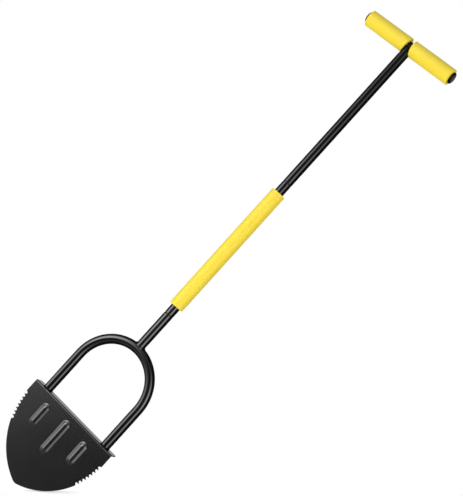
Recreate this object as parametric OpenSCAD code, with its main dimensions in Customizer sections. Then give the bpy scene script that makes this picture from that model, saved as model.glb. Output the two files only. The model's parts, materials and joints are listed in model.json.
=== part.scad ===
// Half moon lawn edger with a folded foot tread, a bow frame and a three-section
// handle that screws together under a T-shaped grip.
// Millimetres. The blade's tip is at the origin and the handle's axis is +Z.
// The blade's front faces -Y.

/* [Blade] */
// Width of the blade and of the tread along its top
blade_w = 197; // [160:1:240]
// Height of the tread above the blade's tip
tread_h = 152.7; // [140:0.1:190]
// Radius of the two arcs that meet at the tip
arch_r = 138; // [120:1:180]
// Width of the blunt tip
tip_w = 5.4; // [2:0.1:12]
// Thickness of the steel plate
plate_t = 2; // [1.5:0.1:3]
// Inside radius of the fold along the top edge
fold_r = 0.8; // [0.5:0.1:4]
// Depth of the tread from the blade's front to its back edge
tread_d = 24; // [20:0.1:32]
// Rounding of the tread's two back corners
tread_corner_r = 4; // [1:0.5:8]
// How far the blade's front stands ahead of the legs
front_step = 3; // [1:0.1:3.5]

/* [Teeth] */
// Scallops along each shoulder
notch_count = 8; // [3:1:12]
// Step from one scallop to the next along the edge
notch_pitch = 7; // [6.8:0.1:9]
// Depth of a scallop
notch_depth = 4.2; // [3:0.1:6]
// Radius of a scallop's floor
notch_r = 2; // [1:0.1:2.4]
// Width of a scallop's mouth
notch_mouth = 6.6; // [5:0.1:6.7]
// Drop from the tread to the first scallop's centre
notch_drop = 30; // [24:1:45]

/* [Ribs] */
// Width of a pressed rib from foot to foot
rib_w = 19.5; // [14:0.5:26]
// Height of a rib above the plate's front
rib_h = 3.5; // [1.5:0.1:4]
// Rounding of a rib's crest
rib_crest_r = 9; // [4:0.5:12]
// Rounding of the foot where a rib leaves the plate
rib_foot_r = 5; // [1:0.5:8]
// Distance of a side rib from the middle
side_rib_x = 49.3; // [30:0.1:60]
// Drop from the tread to the top of a side rib
side_rib_drop = 15.5; // [8:0.1:30]
// Length of a side rib
side_rib_len = 49.5; // [30:0.5:60]
// Drop from the tread to the top of the middle rib
mid_rib_drop = 10.7; // [6:0.1:30]
// Length of the middle rib
mid_rib_len = 73.8; // [40:0.1:90]

/* [Tubes] */
// Outside diameter of every tube
tube_od = 18; // [16:0.5:22]
// Wall of every tube
tube_wall = 1.5; // [1:0.1:2]
// Rounding of the tube ends that meet at a screwed joint
rim_r = 0.9; // [0.5:0.1:1.4]
// Reach of a weld bead from the tubes that it joins
weld = 1.6; // [1:0.1:3]

/* [Bow] */
// Distance from the blade's end in to the axis of a leg
leg_inset = 23.5; // [18:0.5:38]
// Straight length of a leg above the tread
leg_len = 84.5; // [50:0.5:140]

/* [Handle] */
// Neck from the top of the bow to the lower joint
neck_len = 71.7; // [50:0.1:150]
// Middle section from joint to joint
middle_len = 310.5; // [310:0.1:450]
// Upper section from its joint to the crossbar's axis
upper_len = 325.9; // [200:0.1:450]
// Length of the middle foam grip
middle_grip_len = 269; // [150:1:275]
// Bare tube between the lower joint and the middle grip
middle_grip_lift = 18.6; // [5:0.1:40]
// Outside diameter of the middle grip
middle_grip_od = 28; // [24:0.5:36]

/* [Crossbar] */
// Length of the crossbar tube
bar_len = 189; // [140:1:260]
// Outside diameter of the crossbar's foam grips
bar_grip_od = 31.5; // [26:0.5:40]
// Gap between the two grips over the handle
bar_grip_gap = 7; // [5:0.1:30]
// Rounding of the foam's ends
foam_r = 1; // [0.5:0.5:3]
// Diameter of an end plug's head
plug_d = 22; // [20:0.5:25]
// Height of an end plug's head
plug_head = 4; // [2:0.5:6]
// Rounding of an end plug's head
plug_r = 3; // [0.5:0.1:4]
// Depth of an end plug's spigot in the tube
plug_depth = 12; // [6:1:25]

/* [Screwed joints] */
// Thread diameter
thread_d = 12; // [8:0.5:12.5]
// Thread pitch
thread_pitch = 1.75; // [1:0.25:2]
// Turns of thread that hold
thread_turns = 12; // [6:1:16]
// Running clearance of the thread
thread_gap = 0.05; // [0.01:0.01:0.1]
// Length of a bush past the thread that holds
bush_spare = 5; // [2:1:12]
// Length of a stud's plug inside its tube
stud_plug = 24; // [12:1:40]
// Thickness of a joint's washer
washer_t = 1.2; // [1:0.1:3]
// Diameter of a joint's washer
washer_d = 16.9; // [15.5:0.1:17]
// Clearance of a washer and of the foam round what passes through
washer_gap = 0.2; // [0.1:0.05:0.5]

/* [Hidden] */
$fn = 96;
tube_r = tube_od / 2;
bore_r = tube_r - tube_wall;
front_y = -(tube_r + front_step);
back_y = front_y + tread_d;
fold_out = fold_r + plate_t;
edge_gap = 0.2;
arch_x = arch_r - blade_w / 2;
arch_z = sqrt(pow(arch_r, 2) - pow(arch_x + tip_w / 2, 2));
notch_start = asin((arch_z - tread_h + notch_drop) / arch_r);
notch_step = notch_pitch / arch_r * 180 / PI;
notch_sides = 6;
rib_half = rib_w / 2;
rib_sink = 0.1;
rib_lap = 0.02;
rib_rise = rib_h + rib_sink;
rib_round = (pow(rib_half, 2) + pow(rib_rise, 2)) / (2 * rib_rise);
rib_crest = min(rib_crest_r, 0.7 * rib_round);
rib_foot = min(rib_foot_r, 0.97 * rib_round - rib_crest);
rib_arc = rib_crest + rib_foot - 2 * rib_lap;
rib_fall = rib_crest + rib_foot - rib_rise;
rib_run = sqrt(pow(rib_half, 2) + pow(rib_fall, 2) - pow(rib_arc, 2));
rib_slope = atan2(rib_half, rib_fall) - atan2(rib_run, rib_arc);
bow_r = blade_w / 2 - leg_inset;
bow_z = tread_h + leg_len;
crown_z = bow_z + bow_r;
crown_top = crown_z + tube_r;
cope_z = 0.45 * tube_r;
neck_top = crown_top + neck_len;
middle_z = neck_top + washer_t;
middle_top = middle_z + middle_len;
upper_z = middle_top + washer_t;
bar_z = upper_z + upper_len;
thread_r = thread_d / 2;
thread_len = thread_turns * thread_pitch;
bush_len = thread_len + bush_spare;
foam_notch_r = tube_r + weld + washer_gap;
big = 60;

// Outline of the blade in the X-Z plane: two arcs to a blunt tip, straight sides above
module blade_outline() {
    difference() {
        intersection() {
            translate([-arch_x, arch_z]) circle(arch_r);
            translate([arch_x, arch_z]) circle(arch_r);
            translate([-blade_w, 0]) square([2 * blade_w, arch_z]);
        }
        for (i = [0 : notch_count - 1]) {
            notch_2d(notch_start + i * notch_step);
            mirror([1, 0]) notch_2d(notch_start + i * notch_step);
        }
    }
    translate([-blade_w / 2, arch_z]) square([blade_w, tread_h - arch_z]);
}

// One scallop of the right shoulder at an angle down the arc: a round floor with flanks that
// touch it and open to the mouth
module notch_2d(angle) {
    half = notch_mouth / 2;
    floor_y = notch_r - notch_depth;
    lean = atan2(-floor_y, half) - acos(notch_r / norm([half, floor_y]));
    foot = [notch_r * cos(lean), floor_y + notch_r * sin(lean)];
    lip_x = half + (half - foot[0]) / -foot[1];
    turn = (180 + 2 * lean) / notch_sides;
    round_floor = [for (i = [0 : notch_sides])
        [notch_r * cos(lean - i * turn), floor_y + notch_r * sin(lean - i * turn)]];
    translate([arch_r * cos(angle) - arch_x, arch_z - arch_r * sin(angle)]) rotate(-90 - angle)
        polygon(concat([[lip_x, 1]], round_floor, [[-lip_x, 1]]));
}

// Cross-section of the folded top in the Y-Z plane, solid below the tread when thick is 0
module fold_profile(thick) {
    difference() {
        union() {
            translate([front_y + fold_out, tread_h - fold_out]) circle(fold_out);
            translate([front_y, -big]) square([fold_out, tread_h - fold_out + big]);
            translate([front_y + fold_out, -big]) square([tread_d - fold_out, tread_h + big]);
        }
        if (thick > 0) {
            translate([front_y + fold_out, tread_h - fold_out]) circle(fold_r);
            translate([front_y + thick, -2 * big]) square([fold_r, tread_h - fold_out + 2 * big]);
            translate([front_y + fold_out, -2 * big]) square([tread_d, tread_h - thick + 2 * big]);
        }
    }
}

// A Y-Z profile drawn out along X
module along_x(width) {
    translate([-width / 2, 0, 0]) rotate([90, 0, 90]) linear_extrude(width) children();
}

// An X-Z outline drawn out along Y
module along_y(low, high) {
    translate([0, high, 0]) rotate([90, 0, 0]) linear_extrude(high - low) children();
}

// Section of a rib, grown or shrunk all round: a round crest, straight flanks and hollow feet
// that run out just under the plate's front
module rib_section(grow) {
    way = [sin(rib_slope), cos(rib_slope)];
    crest = [0, rib_rise - rib_crest] + (rib_crest + grow - rib_lap) * way;
    foot = [rib_half, rib_foot] - (rib_foot - grow - rib_lap) * way;
    lip = grow + rib_lap;
    difference() {
        union() {
            translate([0, rib_rise - rib_crest]) circle(rib_crest + grow);
            polygon([[-rib_half, -big], [rib_half, -big], [rib_half, lip], foot, crest,
                [-crest[0], crest[1]], [-foot[0], foot[1]], [-rib_half, lip]]);
        }
        for (side = [-1, 1])
            translate([side * rib_half, rib_foot]) circle(rib_foot - grow);
    }
}

// One rib along Z: a straight run of its section and half a turn of it at each end
module rib_bar(x, top, len, grow) {
    low = top - len + rib_half;
    high = top - rib_half;
    translate([x, front_y + rib_sink, low]) linear_extrude(high - low) mirror([0, 1])
        rib_section(grow);
    for (end = [[low, 180], [high, 0]])
        translate([x, front_y + rib_sink, end[0]]) rotate([90, 0, 0]) rotate([0, 0, end[1]])
            rotate_extrude(angle = 180) intersection() {
                rib_section(grow);
                translate([0, -2 * big]) square([rib_w, 4 * big]);
            }
}

module ribs(grow) {
    for (side = [-1, 1])
        rib_bar(side * side_rib_x, tread_h - side_rib_drop, side_rib_len, grow);
    rib_bar(0, tread_h - mid_rib_drop, mid_rib_len, grow);
}

// Box in front of a plane that faces the front
module ahead_of(y) {
    translate([-blade_w, y - big, -big]) cube([2 * blade_w, big, tread_h + big]);
}

module tread_corners() {
    for (side = [-1, 1]) {
        x = side * (blade_w / 2 - tread_corner_r);
        difference() {
            translate([x - (side < 0 ? big : 0), back_y - tread_corner_r, tread_h - big])
                cube([big, big, 2 * big]);
            translate([x, back_y - tread_corner_r, tread_h - big])
                cylinder(h = 2 * big, r = tread_corner_r);
        }
    }
}

module blade() {
    color("DimGray") difference() {
        union() {
            intersection() {
                along_x(blade_w) fold_profile(plate_t);
                along_y(front_y - 1, back_y + 1) blade_outline();
            }
            intersection() {
                ribs(0);
                ahead_of(front_y + plate_t / 2);
            }
        }
        intersection() {
            ribs(-plate_t);
            ahead_of(front_y + plate_t + 1);
        }
        tread_corners();
    }
}

// Filled shape of the bow: half ring and two legs of a given radius
module bow_shape(r, foot) {
    translate([0, 0, bow_z]) rotate([90, 0, 0])
        rotate_extrude(angle = 180) translate([bow_r, 0]) circle(r);
    for (side = [-1, 1])
        translate([side * bow_r, 0, foot]) cylinder(h = bow_z - foot, r = r);
}

module bow() {
    color("Black") difference() {
        bow_shape(tube_r, tread_h - fold_out);
        bow_shape(bore_r, tread_h - fold_out - 1);
        along_x(2 * blade_w) fold_profile(0);
        translate([-blade_w, back_y, tread_h - big]) cube([2 * blade_w, big, big]);
    }
}

// Bead round a leg's foot, on the tread and over its fold
module foot_weld(side) {
    color("Black") intersection() {
        difference() {
            translate([side * bow_r, 0, tread_h]) rotate_extrude()
                polygon([[tube_r, weld], [tube_r, -weld], [tube_r + 2 * weld, -weld]]);
            along_x(2 * blade_w) fold_profile(0);
        }
        translate([-blade_w, front_y, tread_h - big]) cube([2 * blade_w, tread_d - edge_gap, 2 * big]);
    }
}

module left_foot_weld() {
    foot_weld(-1);
}

module right_foot_weld() {
    foot_weld(1);
}

// Crown of the bow as a short piece of ring
module crown(r) {
    translate([0, 0, bow_z]) rotate([90, 0, 0]) rotate([0, 0, 60])
        rotate_extrude(angle = 60) translate([bow_r, 0]) circle(r);
}

module neck_weld() {
    color("Black") difference() {
        intersection() {
            crown(tube_r + weld);
            translate([0, 0, crown_z + cope_z]) cylinder(h = tube_r + weld, r = tube_r + weld);
        }
        crown(tube_r);
        translate([0, 0, crown_z]) cylinder(h = big, r = tube_r);
    }
}

// Tube along Z with rounded outer rims where asked
module rim_tube(low, high, round_low, round_high) {
    rotate_extrude() difference() {
        translate([bore_r, low]) square([tube_wall, high - low]);
        if (round_high) rim_cut(high, 1);
        if (round_low) rim_cut(low, -1);
    }
}

// Corner taken off a rim by a quarter round
module rim_cut(z, way) {
    c = z - way * rim_r;
    difference() {
        translate([tube_r - rim_r, way > 0 ? c : c - 2 * rim_r]) square([2 * rim_r, 2 * rim_r]);
        translate([tube_r - rim_r, c]) circle(rim_r);
    }
}

module neck_tube() {
    color("Black") difference() {
        rim_tube(crown_z + cope_z, neck_top, false, true);
        crown(tube_r);
    }
}

// Threaded bush pressed into the top of a tube
module bush(top) {
    color("Silver") translate([0, 0, top - bush_len]) difference() {
        cylinder(h = bush_len, r = bore_r);
        translate([0, 0, -1]) cylinder(h = bush_len + 2, r = thread_r + thread_gap);
    }
}

// Threaded stud, its plug pressed into the foot of a tube and its thread reaching down
module stud(foot) {
    tip = foot - washer_t - thread_len;
    color("Silver") {
        translate([0, 0, foot]) cylinder(h = stud_plug, r = bore_r);
        translate([0, 0, tip + thread_pitch]) cylinder(h = foot - tip - thread_pitch, r = thread_r);
        translate([0, 0, tip]) cylinder(h = thread_pitch, r1 = thread_r - thread_pitch / 2, r2 = thread_r);
    }
}

module washer(low) {
    color("DarkSlateGray") translate([0, 0, low]) difference() {
        cylinder(h = washer_t, r = washer_d / 2);
        translate([0, 0, -1]) cylinder(h = washer_t + 2, r = thread_r + washer_gap);
    }
}

module neck_bush() {
    bush(neck_top);
}

module lower_washer() {
    washer(neck_top);
}

module middle_stud() {
    stud(middle_z);
}

module middle_tube() {
    color("Black") rim_tube(middle_z, middle_top, true, true);
}

// Foam sleeve along Z on a tube, with rounded ends
module foam(low, high, r) {
    rotate_extrude() difference() {
        translate([tube_r, low]) square([r - tube_r, high - low]);
        for (end = [[high, 1], [low, -1]]) {
            c = end[0] - end[1] * foam_r;
            difference() {
                translate([r - foam_r, end[1] > 0 ? c : c - 2 * foam_r])
                    square([2 * foam_r, 2 * foam_r]);
                translate([r - foam_r, c]) circle(foam_r);
            }
        }
    }
}

module middle_grip() {
    low = middle_z + middle_grip_lift;
    color("Gold") foam(low, low + middle_grip_len, middle_grip_od / 2);
}

module middle_bush() {
    bush(middle_top);
}

module upper_washer() {
    washer(middle_top);
}

module upper_stud() {
    stud(upper_z);
}

// Cylinder along X through the crossbar's axis
module bar_round(r, low, high) {
    translate([low, 0, bar_z]) rotate([0, 90, 0]) cylinder(h = high - low, r = r);
}

module upper_tube() {
    color("Black") difference() {
        rim_tube(upper_z, bar_z - cope_z, true, false);
        bar_round(tube_r, -bar_len / 2, bar_len / 2);
    }
}

module crossbar_weld() {
    reach = tube_r + weld;
    color("Black") difference() {
        intersection() {
            bar_round(reach, -reach, reach);
            translate([0, 0, bar_z - reach]) cylinder(h = reach - cope_z, r = reach);
        }
        bar_round(tube_r, -2 * reach, 2 * reach);
        translate([0, 0, bar_z - big]) cylinder(h = big, r = tube_r);
    }
}

module crossbar() {
    color("Black") difference() {
        bar_round(tube_r, -bar_len / 2, bar_len / 2);
        bar_round(bore_r, -bar_len, bar_len);
    }
}

// Foam grip on one half of the crossbar, close round the top of the handle with a pocket for
// the weld bead
module bar_grip(side) {
    color("Gold") difference() {
        translate([0, 0, bar_z]) rotate([0, side * 90, 0])
            foam(bar_grip_gap / 2, bar_len / 2, bar_grip_od / 2);
        translate([0, 0, bar_z - bar_grip_od])
            cylinder(h = bar_grip_od, r = tube_r + washer_gap);
        intersection() {
            bar_round(foam_notch_r, -2 * foam_notch_r, 2 * foam_notch_r);
            translate([0, 0, bar_z - bar_grip_od])
                cylinder(h = bar_grip_od - cope_z + washer_gap, r = foam_notch_r);
        }
    }
}

module left_bar_grip() {
    bar_grip(-1);
}

module right_bar_grip() {
    bar_grip(1);
}

// Plug in an end of the crossbar: a rounded head outside and a spigot inside
module end_plug(side) {
    head_r = plug_d / 2;
    soft = min(plug_r, plug_head - edge_gap);
    color("Black") translate([0, 0, bar_z]) rotate([0, side * 90, 0]) translate([0, 0, bar_len / 2])
        rotate_extrude() {
            translate([0, -plug_depth]) square([bore_r, plug_depth]);
            square([head_r, plug_head - soft]);
            square([head_r - soft, plug_head]);
            intersection() {
                translate([head_r - soft, plug_head - soft]) circle(soft);
                square([head_r, plug_head]);
            }
        }
}

module left_end_plug() {
    end_plug(-1);
}

module right_end_plug() {
    end_plug(1);
}

blade();
bow();
left_foot_weld();
right_foot_weld();
neck_weld();
neck_tube();
neck_bush();
lower_washer();
middle_stud();
middle_tube();
middle_grip();
middle_bush();
upper_washer();
upper_stud();
upper_tube();
crossbar_weld();
crossbar();
left_bar_grip();
right_bar_grip();
left_end_plug();
right_end_plug();
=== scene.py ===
# %% [markdown]
# A half moon edger, dressed for its picture
# The tool is a garden edger: a pressed steel blade with a foot tread, a bent tube bow above it,
# and a handle of three screwed sections with yellow foam where the hands go. Its solids were
# drawn in CAD. This lesson loads them, models the soft and threaded pieces again in more detail,
# paints everything and sets up a small studio. Everything is in metres and in the CAD frame:
# the blade's tip is at the origin, +Z runs up the handle and the blade's front faces -Y.

# %% Load the CAD frame
import json
import math

import bmesh
import bpy
from mathutils import Matrix, Vector, noise


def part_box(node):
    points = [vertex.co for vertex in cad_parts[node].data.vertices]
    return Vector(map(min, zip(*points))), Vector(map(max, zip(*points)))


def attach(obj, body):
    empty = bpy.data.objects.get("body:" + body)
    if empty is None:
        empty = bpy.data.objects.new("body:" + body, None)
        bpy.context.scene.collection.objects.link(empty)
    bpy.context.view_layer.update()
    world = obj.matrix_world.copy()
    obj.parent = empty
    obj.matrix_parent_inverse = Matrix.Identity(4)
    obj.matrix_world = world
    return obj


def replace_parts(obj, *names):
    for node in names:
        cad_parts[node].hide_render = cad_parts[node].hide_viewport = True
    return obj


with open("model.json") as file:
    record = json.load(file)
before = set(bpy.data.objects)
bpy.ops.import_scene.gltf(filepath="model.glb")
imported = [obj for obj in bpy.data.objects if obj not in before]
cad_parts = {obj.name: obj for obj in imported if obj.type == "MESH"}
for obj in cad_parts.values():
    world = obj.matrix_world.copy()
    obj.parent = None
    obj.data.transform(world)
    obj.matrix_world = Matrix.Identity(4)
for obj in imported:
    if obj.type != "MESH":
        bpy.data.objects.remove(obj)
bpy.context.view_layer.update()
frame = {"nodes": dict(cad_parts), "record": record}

# %% [markdown]
# Measures from the solids
# New pieces have to sit exactly where their CAD solids sit. Numbers could be copied from the
# drawing by hand, but they would go wrong with the first change there. A box read from each
# solid always agrees with it, so every length below starts from one.

# %% Read the boxes
MM = 0.001


def span(node, axis):
    """Lowest and highest place of a CAD node along one axis."""
    low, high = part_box(node)
    return low[axis], high[axis]


bar_low, bar_high = span("crossbar", 2)
bar_height = (bar_low + bar_high) / 2
tube_radius = (bar_high - bar_low) / 2
print("crossbar axis at", round(bar_height, 4), "m, tube radius", round(tube_radius / MM, 2), "mm")

# %% [markdown]
# Turning a profile
# Most of the new pieces are round. Blender could start from a cylinder and push it about, but a
# lathe is closer to how such pieces are made: draw half of the section once, then spin it round
# the axis. Spin leaves a double row of vertices where it comes back to its start, so they are
# merged, and the normals are worked out again so that every face looks outwards.

# %% Lathe and finishing helpers
SAME_SPOT = 1e-6


def draw_section(bm, corners):
    """Closed chain of edges through (radius, height) corners, in the X-Z plane."""
    points = [bm.verts.new((r, 0, z)) for r, z in corners]
    return points, [bm.edges.new(pair) for pair in zip(points, points[1:] + points[:1])]


def spin_round(bm, steps, turns=1.0, rise=0.0):
    """Spin everything drawn so far round Z, steps to a turn, climbing by rise each turn."""
    whole = turns == 1.0 and rise == 0.0
    bmesh.ops.spin(bm, geom=bm.verts[:] + bm.edges[:], cent=(0, 0, 0), axis=(0, 0, 1),
                   dvec=(0, 0, rise / steps), angle=2 * math.pi * turns,
                   steps=round(steps * turns), use_merge=whole)


def close_piece(bm, name, body):
    """Merge doubles, turn the faces outwards and make the piece an object that rides a body."""
    bmesh.ops.remove_doubles(bm, verts=bm.verts, dist=SAME_SPOT)
    bmesh.ops.recalc_face_normals(bm, faces=bm.faces)
    open_edges = sum(not e.is_manifold for e in bm.edges)
    mesh = bpy.data.meshes.new(name)
    bm.to_mesh(mesh)
    bm.free()
    mesh.shade_smooth()
    piece = bpy.data.objects.new(name, mesh)
    bpy.context.scene.collection.objects.link(piece)
    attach(piece, body)
    print(name, len(mesh.polygons), "faces,", open_edges, "open edges")
    return piece


print("pieces are turned round Z and merged within", SAME_SPOT, "m")

# %% [markdown]
# Foam sleeves
# The three grips are tubes of soft closed-cell foam, pushed on over the steel. A plain cylinder
# would look like painted metal. Foam gives itself away by soft ends and by a skin that is never
# quite straight, so the section gets rounded corners, many rows along its length, and then every
# skin vertex is moved inwards by about a tenth of a millimetre, more or less, by smooth noise.
# Cloth simulation isn't used: moulded foam has no sheet that could swell or wrinkle.

# %% A foam sleeve along Z
FOAM_ROUND, ROUND_STEPS = 1.0 * MM, 6
FOAM_FIT = 0.05 * MM
SKIN_DEPTH = 0.1 * MM
FOAM_WAVE, WAVE_SCALE, WAVE_SINK = 0.1 * MM, 90, 0.9
END_CUTS, SLEEVE_SIDES = 3, 80


def foam_sleeve(length, outer, rows, seed):
    """Sleeve from height 0 up to length, with soft ends and an uneven skin."""
    bm = bmesh.new()
    inner = tube_radius + FOAM_FIT
    points, _ = draw_section(bm, [(inner, 0), (outer, 0), (outer, length), (inner, length)])
    bm.faces.new(points)
    bmesh.ops.bevel(bm, geom=points[1:3], offset=FOAM_ROUND, offset_type="OFFSET",
                    affect="VERTICES", segments=ROUND_STEPS, profile=0.5, material=-1)
    bmesh.ops.delete(bm, geom=bm.faces[:], context="FACES_ONLY")
    skin = [e for e in bm.edges if min(v.co.x for v in e.verts) > outer - SAME_SPOT]
    ends = [e for e in bm.edges
            if e.calc_length() > FOAM_ROUND and e.verts[0].co.z == e.verts[1].co.z]
    bmesh.ops.subdivide_edges(bm, edges=ends, cuts=END_CUTS)
    bmesh.ops.subdivide_edges(bm, edges=skin, cuts=rows)
    spin_round(bm, SLEEVE_SIDES)
    bmesh.ops.remove_doubles(bm, verts=bm.verts, dist=SAME_SPOT)
    for v in bm.verts:
        outward = Vector((v.co.x, v.co.y, 0))
        if outward.length > inner + SKIN_DEPTH:
            wave = noise.noise(v.co * WAVE_SCALE + Vector((seed, 0, 0))) - WAVE_SINK
            v.co += outward.normalized() * wave * FOAM_WAVE
    return bm


print("foam ends are rounded by", FOAM_ROUND / MM, "mm")

# %% The long sleeve on the handle
HANDLE_ROWS, HANDLE_SEED = 110, 3.0

low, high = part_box("middle_grip")
bm = foam_sleeve(high.z - low.z, (high.x - low.x) / 2, HANDLE_ROWS, HANDLE_SEED)
bmesh.ops.translate(bm, verts=bm.verts, vec=(0, 0, low.z))
handle_foam = close_piece(bm, "handle_foam", "middle_section")
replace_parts(handle_foam, "middle_grip")

# %% [markdown]
# Foam on the crossbar
# The two short sleeves nearly meet over the handle, and below the bar each lies close round the
# handle, with a pocket inside for the weld. A boolean would cut both, but it leaves ragged
# triangles. The sleeve already has rows of vertices there, so its end is pushed back to the
# handle instead, further where the weld is, and the push fades out over the first centimetres.
# Foam pressed on by hand also sits back a little and leans away from the handle lower down, and
# it stops just short of the end plug.

# %% The two crossbar sleeves
BAR_ROWS = 44
NOTCH_RADIUS = 9.25 * MM
WELD_RADIUS, WELD_DROP = 10.85 * MM, 3.2 * MM
NOTCH_FADE = 22 * MM
FOAM_LEAN, FOAM_TAIL = 3.6 * MM, 0.7 * MM
QUARTER_TURN = Matrix.Rotation(math.pi / 2, 3, "Y")


def crossbar_foam(name, node, side, seed, back):
    """Sleeve on one side of the crossbar, its inner end set back and shaped round the handle."""
    low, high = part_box(node)
    start, outer = min(abs(low.x), abs(high.x)), (high.y - low.y) / 2
    bm = foam_sleeve(high.x - low.x - FOAM_TAIL, outer, BAR_ROWS, seed)
    for v in bm.verts:
        across, down, along = v.co.y, v.co.x, v.co.z
        by_weld = math.hypot(across, down) < WELD_RADIUS and down > WELD_DROP
        clear = WELD_RADIUS if by_weld else NOTCH_RADIUS
        reach = back + FOAM_LEAN * ((down + outer) / (2 * outer)) ** 2
        if down > 0:
            reach = max(reach, math.sqrt(max(clear ** 2 - across ** 2, 0)) - start)
        v.co.z += reach * max(1 - along / NOTCH_FADE, 0)
    bmesh.ops.translate(bm, verts=bm.verts, vec=(0, 0, start))
    bmesh.ops.rotate(bm, verts=bm.verts, cent=(0, 0, 0), matrix=QUARTER_TURN)
    if side < 0:
        bmesh.ops.scale(bm, verts=bm.verts, vec=(-1, 1, 1))
    bmesh.ops.translate(bm, verts=bm.verts, vec=(0, 0, bar_height))
    piece = close_piece(bm, name, "top_section")
    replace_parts(piece, node)
    return piece


left_foam = crossbar_foam("left_bar_foam", "left_bar_grip", side=-1, seed=11.0, back=1.2 * MM)
right_foam = crossbar_foam("right_bar_foam", "right_bar_grip", side=1, seed=17.0, back=0.7 * MM)

# %% [markdown]
# Threaded studs
# The handle comes apart at two seams, and each upper part then shows a threaded stud. The CAD
# stud is a plain rod. A thread could be a bump in the material, but its outline would stay
# smooth, so it is modelled: the rod is turned a little thinner, and a small trapezium is spun
# round it while it climbs by the pitch each turn, which makes a right-hand helix.

# %% The rod and its thread
PITCH = 1.75 * MM
THREAD_ROOT, THREAD_CREST = 5.0 * MM, 5.92 * MM
TIP_CHAMFER = 0.9 * MM
ROD_SIDES, THREAD_SIDES = 48, 40
RIDGE_SINK, RIDGE_FOOT, RIDGE_TOP = 0.06 * MM, 0.72 * MM, 0.14 * MM
THREAD_START, THREAD_ENDS = 1.6 * MM, 3.2 * MM


def turned_rod(low, high, foot):
    """Plain stud, thin below the foot of its tube and as wide as the bore inside it."""
    plug = (high.x - low.x) / 2
    rod = bmesh.new()
    _, edges = draw_section(rod, [
        (0, low.z), (THREAD_ROOT - TIP_CHAMFER, low.z), (THREAD_ROOT, low.z + TIP_CHAMFER),
        (THREAD_ROOT, foot), (plug, foot), (plug, high.z), (0, high.z)])
    bmesh.ops.delete(rod, geom=[edges[-1]], context="EDGES_FACES")
    spin_round(rod, ROD_SIDES)
    return rod


def thread_ridge(low, foot):
    """Helical ridge with closed ends, in whole turns, sunk a little into the rod."""
    ridge = bmesh.new()
    sink, first = THREAD_ROOT - RIDGE_SINK, low.z + THREAD_START
    draw_section(ridge, [(sink, first - RIDGE_FOOT), (THREAD_CREST, first - RIDGE_TOP),
                         (THREAD_CREST, first + RIDGE_TOP), (sink, first + RIDGE_FOOT)])
    spin_round(ridge, THREAD_SIDES, math.floor((foot - low.z - THREAD_ENDS) / PITCH), PITCH)
    bmesh.ops.holes_fill(ridge, edges=[e for e in ridge.edges if e.is_boundary], sides=4)
    return ridge


print("thread stands", round((THREAD_CREST - THREAD_ROOT) / MM, 2), "mm off its rod")

# %% Two studs with their threads
CREASE = math.radians(35)


def threaded_stud(name, node, tube, body):
    """Rod and ridge in one mesh, in the place of a CAD stud."""
    low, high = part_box(node)
    foot = span(tube, 2)[0]
    bm, ridge = turned_rod(low, high, foot), thread_ridge(low, foot)
    thread = bpy.data.meshes.new(name + "_ridge")
    ridge.to_mesh(thread)
    ridge.free()
    bm.from_mesh(thread)
    bpy.data.meshes.remove(thread)
    piece = close_piece(bm, name, body)
    piece.data.set_sharp_from_angle(angle=CREASE)
    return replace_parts(piece, node)


lower_stud = threaded_stud("lower_threaded_stud", "middle_stud", "middle_tube", "middle_section")
upper_stud = threaded_stud("upper_threaded_stud", "upper_stud", "upper_tube", "top_section")

# %% [markdown]
# Sums on shader sockets
# A finish is a small network of nodes, and long networks are hard to read as node calls. One
# class wraps a socket instead, so that a sum such as 1 - mask * 0.3 adds its Math nodes by
# itself. Every other node comes from one method, which takes the node's type, its settings and
# what goes into its sockets.

# %% The socket wrapper


class Flow:
    """One output of a shader node that can be used in sums."""

    def __init__(self, tree, out=None):
        self.tree, self.out = tree, out

    def make(self, kind, settings=None, sockets=None, out=0):
        """Any node: its settings first, then the values or links of its sockets."""
        node = self.tree.nodes.new(kind)
        for key, value in (settings or {}).items():
            setattr(node, key, value)
        for key, value in (sockets or {}).items():
            if isinstance(value, Flow):
                self.tree.links.new(value.out, node.inputs[key])
            else:
                node.inputs[key].default_value = value
        return Flow(self.tree, node.outputs[out] if len(node.outputs) else None)

    def math(self, operation, *values, clamp=False):
        """A Math node on numbers and flows."""
        return self.make("ShaderNodeMath", {"operation": operation, "use_clamp": clamp},
                         dict(enumerate(values)))

    def ramp(self, low, high, start=0.0, end=1.0):
        """start below low, end above high, and a smooth step between them."""
        return self.make("ShaderNodeMapRange", {"interpolation_type": "SMOOTHSTEP"},
                         {"Value": self, "From Min": low, "From Max": high,
                          "To Min": start, "To Max": end})

    def __add__(self, other):
        return self.math("ADD", self, other)

    def __sub__(self, other):
        return self.math("SUBTRACT", self, other)

    def __rsub__(self, other):
        return self.math("SUBTRACT", other, self)

    def __mul__(self, other):
        return self.math("MULTIPLY", self, other)

    def __truediv__(self, other):
        return self.math("DIVIDE", self, other)

    def __pow__(self, other):
        return self.math("POWER", self, other)

    def __abs__(self):
        return self.math("ABSOLUTE", self)

    __radd__, __rmul__ = __add__, __mul__


print("sums work on", Flow.__name__, "objects")

# %% Starting and closing a finish


def new_finish(name):
    """An empty material and the flow that starts its network."""
    material = bpy.data.materials.new(name)
    material.use_nodes = True
    material.node_tree.nodes.clear()
    return material, Flow(material.node_tree)


def close_finish(flow, sockets):
    """A Principled shader with these sockets, on its way to the surface."""
    shader = flow.make("ShaderNodeBsdfPrincipled", None, sockets)
    flow.make("ShaderNodeOutputMaterial", None, {"Surface": shader})


def place(flow):
    """Where a point of the piece is, in the CAD frame."""
    return flow.make("ShaderNodeTexCoord", None, None, "Object")


def grain(flow, spot, scale, detail=2.0):
    """Soft noise from 0 to 1, with scale grains to the metre."""
    return flow.make("ShaderNodeTexNoise", None,
                     {"Vector": spot, "Scale": scale, "Detail": detail}, "Fac")


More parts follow.
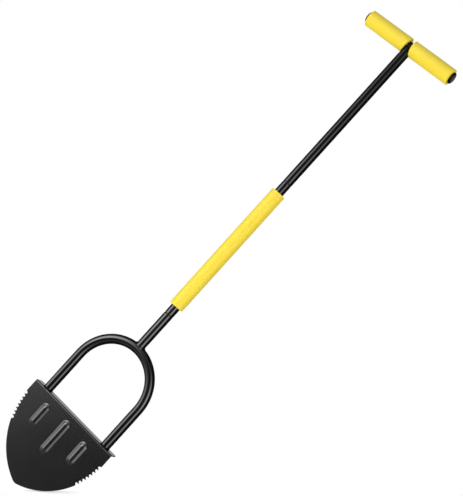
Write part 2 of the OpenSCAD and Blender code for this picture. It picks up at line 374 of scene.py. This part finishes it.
def blend(flow, mask, first, second):
    """Colour first where the mask is 0 and second where it is 1."""
    return flow.make("ShaderNodeMix", {"data_type": "RGBA"},
                     {0: mask, 6: (*first, 1), 7: (*second, 1)}, 2)


def bump(flow, height, strength, depth):
    """A normal tilted by a height from 0 to 1 that stands depth high."""
    return flow.make("ShaderNodeBump", None,
                     {"Strength": strength, "Distance": depth, "Height": height}, "Normal")


print("finishes read Object coordinates")

# %% [markdown]
# Gloss black tubes
# The bow and the handle are steel tube with a baked gloss black coat. Black paint shows almost
# nothing of its own colour: what is seen is the clear top of the coat, mirroring the studio in
# thin lines. So the paint below is nearly black and dull, and a clear coat lies over it. The
# coat is made thinner up the handle, which dims its mirrored lines there: painted shade, standing
# in for less light reaching the upper handle. The coat has the faint orange peel of sprayed
# paint. The weld beads have the same coat on a rougher surface.

# %% Tube and weld coats
PAINT_DEEP, PAINT_PALE = (0.003, 0.003, 0.0033), (0.005, 0.005, 0.0053)
PAINT_CLOUD = 22.0
# Heights and coat levels of a painted dimming of the highlights up the handle.
COAT_FADE_HEIGHTS, COAT_FADE_LEVELS = (0.36, 1.0), (1.0, 0.26)


def tube_coat(name, peel_scale, peel_depth):
    """Black paint under a clear coat that thins up the handle, as painted shade on its highlights.
    """
    material, flow = new_finish(name)
    spot = place(flow)
    height = flow.make("ShaderNodeSeparateXYZ", None, {"Vector": spot}, "Z")
    cloud = grain(flow, spot, PAINT_CLOUD, 3.0)
    peel = grain(flow, spot, peel_scale)
    # The coat thins with height, so the highlights darken higher up: painted shade on the
    # reflections.
    highlight_fade = height.ramp(*COAT_FADE_HEIGHTS, *COAT_FADE_LEVELS)
    close_finish(flow, {
        "Base Color": blend(flow, cloud, PAINT_DEEP, PAINT_PALE),
        "Roughness": 0.42 + cloud * 0.12,
        "Specular IOR Level": 0.0,
        "Coat Weight": highlight_fade * (0.94 + cloud * 0.12),
        "Coat Roughness": 0.1,
        "Normal": bump(flow, peel, 0.1, peel_depth)})
    return material


gloss_black = tube_coat("gloss_black", peel_scale=260.0, peel_depth=0.01 * MM)
weld_black = tube_coat("weld_black", peel_scale=420.0, peel_depth=0.3 * MM)
print("made", gloss_black.name, "and", weld_black.name)

# %% [markdown]
# Satin black blade
# The blade carries the same black, but rolled and baked to a satin skin. It needs a wide, soft
# gloss: sharp enough for the pressed ribs to draw light lines, soft enough for the face to stay
# an even charcoal. A fine grain breaks the gloss up, and a slow cloud keeps large areas alive.

# %% Blade coat
BLADE_DEEP, BLADE_PALE = (0.006, 0.006, 0.006), (0.009, 0.009, 0.0087)
BLADE_CLOUD, BLADE_GRAIN = 14.0, 1600.0

satin_black, flow = new_finish("satin_black")
spot = place(flow)
cloud = grain(flow, spot, BLADE_CLOUD, 3.0)
skin = grain(flow, spot, BLADE_GRAIN)
close_finish(flow, {
    "Base Color": blend(flow, cloud, BLADE_DEEP, BLADE_PALE),
    "Roughness": 0.17 + cloud * 0.05,
    "Specular IOR Level": 0.75,
    "Normal": bump(flow, skin, 0.1, 0.005 * MM)})
print("made", satin_black.name)

# %% [markdown]
# Yellow foam
# Foam scatters light: it has no mirror gloss, only a soft shine and a bloom towards its edges.
# Its colour is a little mottled because the cells under the skin differ, and its skin has tiny
# pits. Two noises mix two close yellows, small cells from a Voronoi texture make the pits, and a
# little sheen gives the bloom.

# %% Foam finish
YELLOW_DEEP, YELLOW_PALE = (0.947, 0.718, 0.014), (0.955, 0.738, 0.021)
MOTTLE_COARSE, MOTTLE_FINE, FOAM_CELLS = 55.0, 420.0, 900.0

foam_yellow, flow = new_finish("foam_yellow")
spot = place(flow)
mottle = grain(flow, spot, MOTTLE_COARSE, 3.0) * 0.6 + grain(flow, spot, MOTTLE_FINE) * 0.4
cells = flow.make("ShaderNodeTexVoronoi", None, {"Vector": spot, "Scale": FOAM_CELLS}, "Distance")
pits = cells.ramp(0.05, 0.35)
close_finish(flow, {
    "Base Color": blend(flow, mottle.ramp(0.35, 0.65), YELLOW_DEEP, YELLOW_PALE),
    "Roughness": 0.5 + mottle * 0.1,
    "Specular IOR Level": 0.65,
    "Sheen Weight": 0.1,
    "Normal": bump(flow, pits * 0.5 + mottle * 0.5, 0.03, 0.2 * MM)})
print("made", foam_yellow.name)

# %% [markdown]
# Plugs and washers
# The end plugs are moulded black plastic and the washers at the seams are dull black. Plastic
# that has come out of a mould is never quite even, so one fine noise moves its colour, its gloss
# and its surface together. Two calls of one function make both.

# %% Black plastics
PLASTIC_GRAIN, PLASTIC_SHADE = 700.0, 0.6


def plastic(name, colour, dull, shine):
    """Moulded plastic: dull is its least roughness and shine its specular level."""
    material, flow = new_finish(name)
    spot = place(flow)
    fine = grain(flow, spot, PLASTIC_GRAIN)
    darker = tuple(c * PLASTIC_SHADE for c in colour)
    close_finish(flow, {
        "Base Color": blend(flow, fine, darker, colour),
        "Roughness": dull + fine * 0.1,
        "Specular IOR Level": shine,
        "Normal": bump(flow, fine, 0.2, 0.05 * MM)})
    return material


plug_black = plastic("plug_black", (0.008, 0.008, 0.009), dull=0.2, shine=0.1)
washer_black = plastic("washer_black", (0.008, 0.008, 0.008), dull=0.35, shine=0.3)
print("made", plug_black.name, "and", washer_black.name)

# %% [markdown]
# Zinc
# The studs and bushes inside the seams are zinc plated steel, a pale metal with lines round it
# from turning and from the thread. A Wave texture along Z draws them. It makes one band in every
# 2 pi / (20 * Scale), so its Scale is chosen for one line in each pitch of the thread.

# %% Zinc finish
ZINC_DEEP, ZINC_PALE = (0.42, 0.42, 0.40), (0.62, 0.62, 0.60)
ZINC_CLOUD, LINE_SCALE = 160.0, math.pi / (10 * PITCH)

zinc, flow = new_finish("thread_zinc")
spot = place(flow)
lines = flow.make("ShaderNodeTexWave", {"bands_direction": "Z", "wave_profile": "SAW"},
                  {"Vector": spot, "Scale": LINE_SCALE, "Distortion": 0.0}, "Fac")
cloud = grain(flow, spot, ZINC_CLOUD, 3.0)
close_finish(flow, {
    "Base Color": blend(flow, cloud, ZINC_DEEP, ZINC_PALE),
    "Metallic": 1.0,
    "Roughness": 0.3 + cloud * 0.15,
    "Normal": bump(flow, lines, 0.3, 0.2 * MM)})
print("made", zinc.name)

# %% [markdown]
# Painting the pieces
# Each CAD node names a material slot in its record. One table from slot to finish paints them
# all, so no piece is forgotten, and the new pieces take the finish of the slot they stand for.

# %% Give every piece its finish
FINISHES = {"blade_black": satin_black, "tube_black": gloss_black, "weld_black": weld_black,
            "foam_yellow": foam_yellow, "plug_black": plug_black, "washer_black": washer_black,
            "thread_zinc": zinc}
wanted = {part["node"]: part["material_slot"] for part in frame["record"]["subparts"]}
painted = [(frame["nodes"][node], slot) for node, slot in wanted.items()]
painted += [(piece, "foam_yellow") for piece in (handle_foam, left_foam, right_foam)]
painted += [(piece, "thread_zinc") for piece in (lower_stud, upper_stud)]
for piece, slot in painted:
    piece.data.materials.clear()
    piece.data.materials.append(FINISHES[slot])
print("painted", len(painted), "pieces")

# %% [markdown]
# The camera
# The tool hangs diagonally across the picture, seen a little from its right. The tool could be
# turned, but then it would leave the CAD frame, so the camera is rolled instead. It stands where
# the photograph was taken from, just under two metres away, with a short telephoto lens.

# %% Set the camera
CAMERA_AT = Vector((0.62547, -1.76925, 0.49057))
LENS, SENSOR = 77.39, 36.0
turn, lift, roll = math.radians(19.37), math.radians(1.95), math.radians(42.08)

forward = Vector((-math.sin(turn) * math.cos(lift), math.cos(turn) * math.cos(lift),
                  math.sin(lift)))
level = forward.cross(Vector((0, 0, 1))).normalized()
upright = level.cross(forward)
right = math.cos(roll) * level + math.sin(roll) * upright
up = -math.sin(roll) * level + math.cos(roll) * upright
lens = bpy.data.cameras.new("camera")
lens.lens, lens.sensor_width, lens.sensor_fit = LENS, SENSOR, "AUTO"
camera = bpy.data.objects.new("camera", lens)
axes = Matrix((right, up, -forward)).transposed()
camera.matrix_world = Matrix.Translation(CAMERA_AT) @ axes.to_4x4()
bpy.context.scene.collection.objects.link(camera)
bpy.context.scene.camera = camera
print("camera at", tuple(round(c, 3) for c in CAMERA_AT))

# %% [markdown]
# White all round
# The background is plain white. A brighter world would wash the black tool out, so the world is
# white only for the rays that look straight at it or see it mirrored, and a softer fill for the
# rays that light the pieces. Light Path tells these rays apart.

# %% World and view
FILL = 0.64

world = bpy.data.worlds.new("studio")
world.use_nodes = True
world.node_tree.nodes.clear()
flow = Flow(world.node_tree)
camera_ray = flow.make("ShaderNodeLightPath", None, None, "Is Camera Ray")
glossy_ray = flow.make("ShaderNodeLightPath", None, None, "Is Glossy Ray")
clear_ray = flow.make("ShaderNodeLightPath", None, None, "Is Transmission Ray")
seen = flow.math("ADD", camera_ray + glossy_ray, clear_ray, clamp=True)
white = flow.make("ShaderNodeBackground", None, {"Color": FILL + seen * (1 - FILL)})
flow.make("ShaderNodeOutputWorld", None, {"Surface": white})
bpy.context.scene.world = world
bpy.context.scene.view_settings.view_transform = "Standard"
print("world fill", FILL)

# %% [markdown]
# Soft lamps
# Two big square lamps model the foam: a key on the picture's left, which is below and left of
# the tool in its own frame, and a weaker fill on the right. They stay out of mirrored rays,
# because the gloss gets its own lights in the next step.

# %% Key and fill
AIM = Vector((0, 0, 0.55))
toward = Vector((math.sin(turn), -math.cos(turn), 0))
side = Vector((math.cos(turn), math.sin(turn), 0))


def facing(direction):
    """A turn that makes Z point along a direction."""
    return direction.to_track_quat("Z", "Y").to_matrix().to_4x4()


def soft_lamp(name, azimuth, elevation, distance, size, level):
    """Square lamp aimed at the tool; level is what it adds to a white card facing it."""
    a, e = math.radians(azimuth), math.radians(elevation)
    ahead = toward * math.cos(a) + side * math.sin(a)
    away = ahead * math.cos(e) + Vector((0, 0, math.sin(e)))
    lamp = bpy.data.lights.new(name, "AREA")
    lamp.shape, lamp.size = "SQUARE", size
    lamp.energy = level * math.pi ** 2 * distance ** 2
    obj = bpy.data.objects.new(name, lamp)
    obj.matrix_world = Matrix.Translation(AIM + away * distance) @ facing(away)
    obj.visible_glossy = False
    bpy.context.scene.collection.objects.link(obj)
    return obj


key = soft_lamp("key_lamp", azimuth=-42, elevation=-38, distance=2.6, size=1.6, level=0.46)
fill = soft_lamp("fill_lamp", azimuth=48, elevation=-12, distance=2.8, size=1.6, level=0.17)
print("lamps", key.name, fill.name)

# %% [markdown]
# A tent for the gloss
# Black gloss shows only what it mirrors. In the picture every tube has two thin lines of light
# and a dark core, also round the bend of the bow, so the real studio had light in a ring and
# dark between. A large dome stands for that tent. Its shader works out the direction of each
# point and lights a soft ring there. The ring is bright in two lobes, left and right, and blurs
# more low down on the left. The back of the dome stays dark, because light there would draw
# white rims on the tubes.

# %% Directions on the tent
TENT_AT, TENT_RADIUS = Vector((0, 0, 0.3)), 2.4
RING_AZIMUTH, RING_HALF = -11.0, 48.0

tent_cloth, flow = new_finish("tent_cloth")
spot = place(flow)


def along(flow, spot, direction):
    """How far a point lies in a direction."""
    return flow.make("ShaderNodeVectorMath", {"operation": "DOT_PRODUCT"},
                     {0: spot, 1: tuple(direction)}, "Value")


ahead, aside = along(flow, spot, toward), along(flow, spot, side)
above = along(flow, spot, Vector((0, 0, 1))) - TENT_AT.z
azimuth = flow.math("ARCTAN2", aside, ahead) * math.degrees(1)
elevation = flow.math("ARCSINE", above / TENT_RADIUS) * math.degrees(1)
across = (azimuth - RING_AZIMUTH) / RING_HALF
upward = elevation / RING_HALF
print("ring of light", RING_HALF, "degrees from its middle")

# %% The ring of light
RING_POWER = 3
LEFT_SOFT, RIGHT_SOFT, LOW_SOFT = (0.33, 0.48), (0.42, 0.25), (0.19, 0.78)
LOW_EDGE, SIDE_EDGE, RIM_EDGE = (-13, -7), (-0.4, 0.4), (0.95, 1.05)

rim = (abs(across) ** RING_POWER + abs(upward) ** RING_POWER) ** (1 / RING_POWER)
left_inner = elevation.ramp(*LOW_EDGE, LOW_SOFT[0], LEFT_SOFT[0])
left_outer = elevation.ramp(*LOW_EDGE, LOW_SOFT[1], LEFT_SOFT[1])
inner = across.ramp(*SIDE_EDGE, left_inner, RIGHT_SOFT[0])
outer = across.ramp(*SIDE_EDGE, left_outer, RIGHT_SOFT[1])
width = rim.ramp(*RIM_EDGE, inner, outer)
ring = flow.math("EXPONENT", ((rim - 1) / width) ** 2 * -1)
print("ring softness left", LEFT_SOFT, "right", RIGHT_SOFT, "low", LOW_SOFT)

# %% Two lobes and a dark back
RING_LEVEL, TENT_DARK, TENT_BACK = 8.6, 0.02, 0.015
LEFT_LOBE, RIGHT_LOBE = math.radians(170), math.radians(10)
RING_BASE, LEFT_SHARE, RIGHT_SHARE = 0.06, 0.95, 0.75
BACK_EDGE = (128, 150)

reach = (across ** 2 + upward ** 2) ** 0.5


def lobe(centre, power):
    """1 where the ring points to the centre's angle, falling to 0 a quarter turn away."""
    towards = (across * math.cos(centre) + upward * math.sin(centre)) / reach
    return flow.math("MAXIMUM", towards, 0.0) ** power


share = RING_BASE + lobe(LEFT_LOBE, 8) * LEFT_SHARE + lobe(RIGHT_LOBE, 5) * RIGHT_SHARE
back = abs(azimuth).ramp(*BACK_EDGE)
glow = TENT_DARK + ring * share * RING_LEVEL * (1 - back) + back * TENT_BACK
cloth = flow.make("ShaderNodeEmission", None, {"Color": glow})
flow.make("ShaderNodeOutputMaterial", None, {"Surface": cloth})
print("made", tent_cloth.name)

# %% [markdown]
# The dome itself
# A sphere round the whole set carries the tent's shader. It shows in mirrored rays only, so it
# neither lights nor shades anything else. The same helpers serve the other pieces of the set.

# %% The dome


def stage_piece(bm, name, paint):
    """An object of the set, which isn't part of the tool."""
    mesh = bpy.data.meshes.new(name)
    bm.to_mesh(mesh)
    bm.free()
    mesh.materials.append(paint)
    obj = bpy.data.objects.new(name, mesh)
    bpy.context.scene.collection.objects.link(obj)
    return obj


def only_mirrored(obj):
    """Show an object of the set in mirrored rays and nowhere else."""
    obj.visible_camera = obj.visible_diffuse = obj.visible_shadow = False
    obj.visible_transmission = obj.visible_volume_scatter = False


bm = bmesh.new()
bmesh.ops.create_uvsphere(bm, u_segments=64, v_segments=32, radius=TENT_RADIUS)
bmesh.ops.translate(bm, verts=bm.verts, vec=TENT_AT)
tent = stage_piece(bm, "light_tent", tent_cloth)
only_mirrored(tent)
print("tent of radius", TENT_RADIUS, "m")

# %% [markdown]
# Two cards
# The tread and the right end plug are seen at a flat angle, where paint mirrors strongly, and in
# the picture both are grey. Opening the tent behind them would also draw white rims on every
# tube. Two small white cards, each where only that face mirrors it, do the same job and leave
# the rims dark.

# %% The tread's card and the plug's card
TREAD_MIRROR, TREAD_AWAY = Vector((0, 0, 0.225)), 0.45
PLUG_MIRROR, PLUG_AWAY = Vector((0.098, 0, bar_height + 0.1)), 0.4


def card(name, centre, look, width, height, level):
    """White card at a centre that faces a direction and shows in mirrored rays only."""
    paint, flow = new_finish(name)
    glow = flow.make("ShaderNodeEmission", None, {"Color": (1, 1, 1, 1), "Strength": level})
    flow.make("ShaderNodeOutputMaterial", None, {"Surface": glow})
    bm = bmesh.new()
    bmesh.ops.create_grid(bm, x_segments=1, y_segments=1, size=0.5)
    bmesh.ops.scale(bm, verts=bm.verts, vec=(width, height, 1))
    bmesh.ops.transform(bm, verts=bm.verts, matrix=Matrix.Translation(centre) @ facing(look))
    obj = stage_piece(bm, name, paint)
    only_mirrored(obj)
    return obj


tread_card = card("tread_card", TREAD_MIRROR - toward * TREAD_AWAY, toward,
                  width=0.7, height=0.13, level=0.8)
plug_away = (side * math.sin(2 * turn) - toward * math.cos(2 * turn)).normalized()
plug_card = card("plug_card", PLUG_MIRROR + plug_away * PLUG_AWAY, -plug_away,
                 width=0.16, height=0.2, level=0.5)
print("cards", tread_card.name, plug_card.name)

# %% [markdown]
# A pale floor
# The blade touches a white floor at the bottom of the picture, and only a thin contact shadow
# shows it. The floor is level in the picture, so its normal is the camera's up. Lamps could
# light it white, but they would wash the tool out, so it glows white by itself. Its shadow is
# ambient occlusion: the floor darkens where the blade is close, and further out on the lee side
# than towards the key lamp. Away from the blade it fades out to nothing.

# %% Floor paint
SHADOW_REACH, SHADOW_DEPTH = (0.005, 0.018), 0.75
LEE_EDGE, FLOOR_FADE = (-0.05, 0.06), (0.12, 0.24)

blade_points = (v.co for v in frame["nodes"]["blade"].data.vertices)
touch = min(blade_points, key=lambda point: point.dot(up)).copy()
floor_paint, flow = new_finish("floor_paint")
spot = place(flow)
away = flow.make("ShaderNodeVectorMath", {"operation": "DISTANCE"},
                 {0: spot, 1: tuple(touch)}, "Value")
lee = along(flow, spot, right) - touch.dot(right)
open_sky = flow.make("ShaderNodeAmbientOcclusion", {"samples": 16},
                     {"Distance": lee.ramp(*LEE_EDGE, *SHADOW_REACH)}, "AO")
pale = 1 - (1 - open_sky) * SHADOW_DEPTH
lit = flow.make("ShaderNodeEmission", None, {"Color": pale})
clear = flow.make("ShaderNodeBsdfTransparent")
behind = flow.make("ShaderNodeNewGeometry", None, None, "Backfacing")
hidden = flow.math("MAXIMUM", away.ramp(*FLOOR_FADE), behind)
surface = flow.make("ShaderNodeMixShader", None, {0: hidden, 1: lit, 2: clear})
flow.make("ShaderNodeOutputMaterial", None, {"Surface": surface})
print("floor touches the blade at", tuple(round(c, 3) for c in touch))

# %% The floor under the blade
FLOOR_RADIUS, FLOOR_GAP = 0.26, 0.5 * MM

bm = bmesh.new()
bmesh.ops.create_circle(bm, cap_ends=True, segments=64, radius=FLOOR_RADIUS)
bmesh.ops.transform(bm, verts=bm.verts,
                    matrix=Matrix.Translation(touch - up * FLOOR_GAP) @ facing(up))
floor = stage_piece(bm, "floor", floor_paint)
floor.visible_diffuse = floor.visible_glossy = floor.visible_shadow = False
print("floor of radius", FLOOR_RADIUS, "m")
